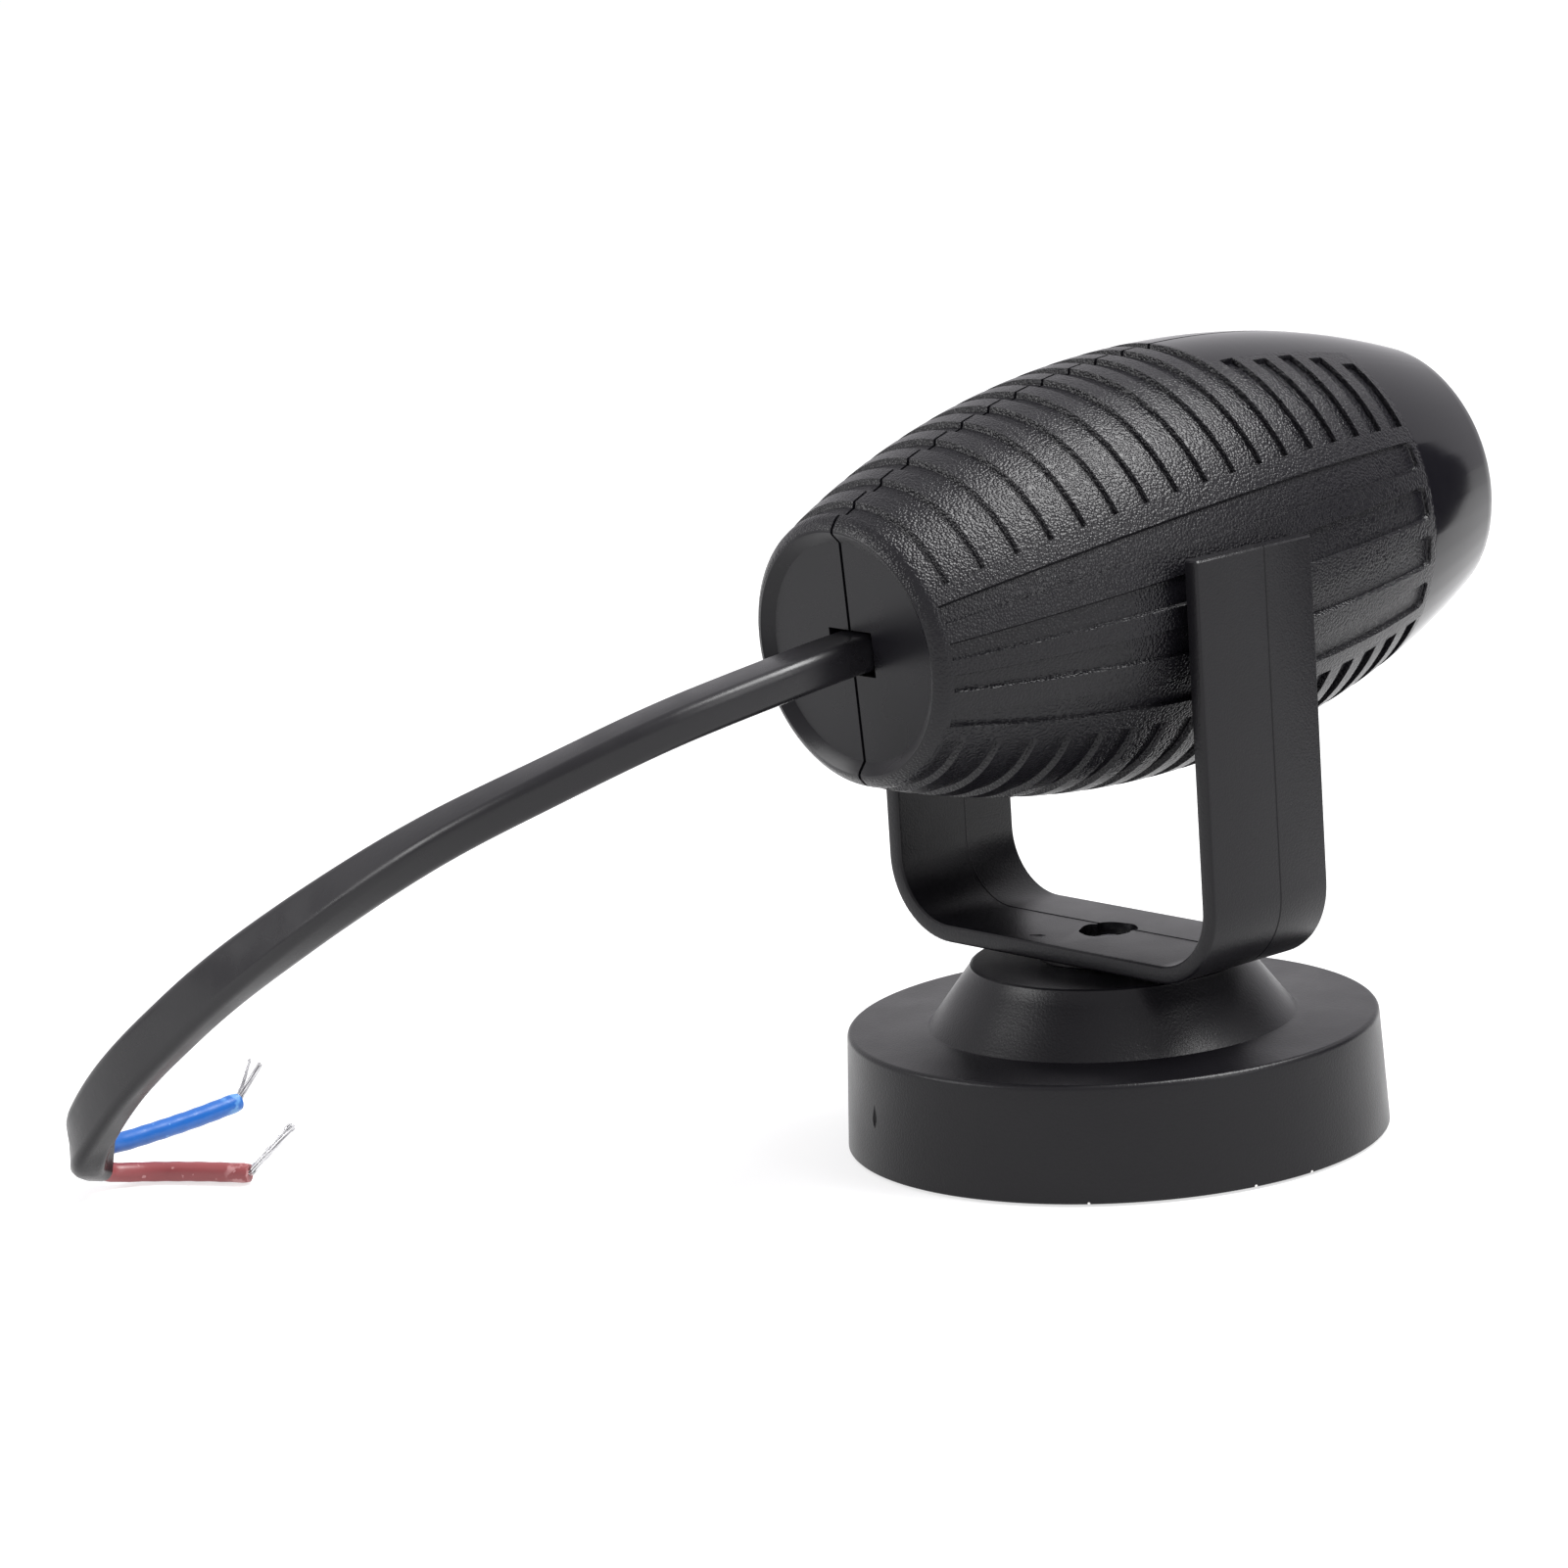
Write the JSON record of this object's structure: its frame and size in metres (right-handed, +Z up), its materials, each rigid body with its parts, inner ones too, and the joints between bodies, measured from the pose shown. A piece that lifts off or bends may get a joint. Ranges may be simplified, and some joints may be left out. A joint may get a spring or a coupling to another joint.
{
  "type": "adjustable spot light",
  "caption": "Small barrel-shaped spot light in a split black housing that tilts in a U bracket, swivels on a round weighted base and has a short flat cable with bare leads.",
  "frame": {"origin": "middle of the foot pad's underside, on the swivel axis", "axes": "+Z up along the swivel axis, -Y the way the lamp shines at rest, +Y the side where the cable leaves, +X the lamp's left"},
  "size_m": [0.1102, 0.1404, 0.0866],
  "materials": {
    "housing_black": "fine pebble grain, satin; smooth and glossy on the nose",
    "bracket_black": "satin with a fine moulding line",
    "base_black": "satin, fine grain",
    "ballast_steel": "plain pressed steel",
    "zinc_steel": "zinc plated",
    "foam_rubber": "closed-cell foam",
    "seal_rubber": "smooth silicone",
    "clear_acrylic": "clear, polished",
    "inner_black": "matt",
    "white_nylon": "natural nylon",
    "cable_jacket": "satin soft PVC",
    "blue_insulation": "satin PVC",
    "red_insulation": "dull satin PVC",
    "black_insulation": "satin PVC",
    "tinned_copper": "bright tinned strands",
    "led_board_white": "white solder mask on aluminium",
    "led_phosphor": "silicone over phosphor",
    "thermal_pad_grey": "matt",
    "bare_aluminium": "as cast",
    "circuit_board_green": "green solder mask",
    "ferrite_grey": "matt sintered ferrite",
    "winding_tape": "polyester tape",
    "capacitor_sleeve": "shrink sleeve",
    "chip_epoxy": "matt epoxy"
  },
  "bodies": {
    "base": {"base_shell": "base_black", "base_weight": "ballast_steel", "base_cover": "base_black", "foot_pad": "foam_rubber", "cover_screw_1": "zinc_steel", "cover_screw_2": "zinc_steel", "cover_screw_3": "zinc_steel"},
    "bracket": {"bracket": "bracket_black", "swivel_screw": "zinc_steel", "swivel_washer": "zinc_steel"},
    "head": {"housing_left": "housing_black", "housing_right": "housing_black", "housing_screw_1": "zinc_steel", "housing_screw_2": "zinc_steel", "housing_screw_3": "zinc_steel", "housing_screw_4": "zinc_steel", "clamp_screw_1": "zinc_steel", "clamp_screw_2": "zinc_steel", "cable_clamp": "white_nylon", "front_lens": "clear_acrylic", "lens_seal": "seal_rubber", "collimator_lens": "clear_acrylic", "lens_holder": "inner_black", "led_board": "led_board_white", "led_emitter": "led_phosphor", "thermal_pad": "thermal_pad_grey", "heat_sink": "bare_aluminium", "led_wire_black": "black_insulation", "led_wire_red": "red_insulation", "driver_board": "circuit_board_green", "transformer_core": "ferrite_grey", "transformer_coil": "winding_tape", "input_capacitor": "capacitor_sleeve", "output_capacitor": "capacitor_sleeve", "bridge_rectifier": "chip_epoxy", "driver_chip": "chip_epoxy", "inner_lead_blue": "blue_insulation", "inner_lead_red": "red_insulation", "power_cable": "cable_jacket", "lead_blue": "blue_insulation", "lead_red": "red_insulation", "strands_blue": "tinned_copper", "strands_red": "tinned_copper"}
  },
  "joints": [
    {"name": "bracket_swivel", "type": "hinge", "parent": "base", "child": "bracket", "pos_m": [0, 0, 0.0211], "axis": [0, 0, 1], "range_deg": [-180, 180]},
    {"name": "head_tilt", "type": "hinge", "parent": "bracket", "child": "head", "pos_m": [0, 0, 0.0627], "axis": [1, 0, 0], "range_deg": [-55, 45], "deforming": ["power_cable", "lead_blue", "lead_red", "strands_blue", "strands_red"]}
  ]
}
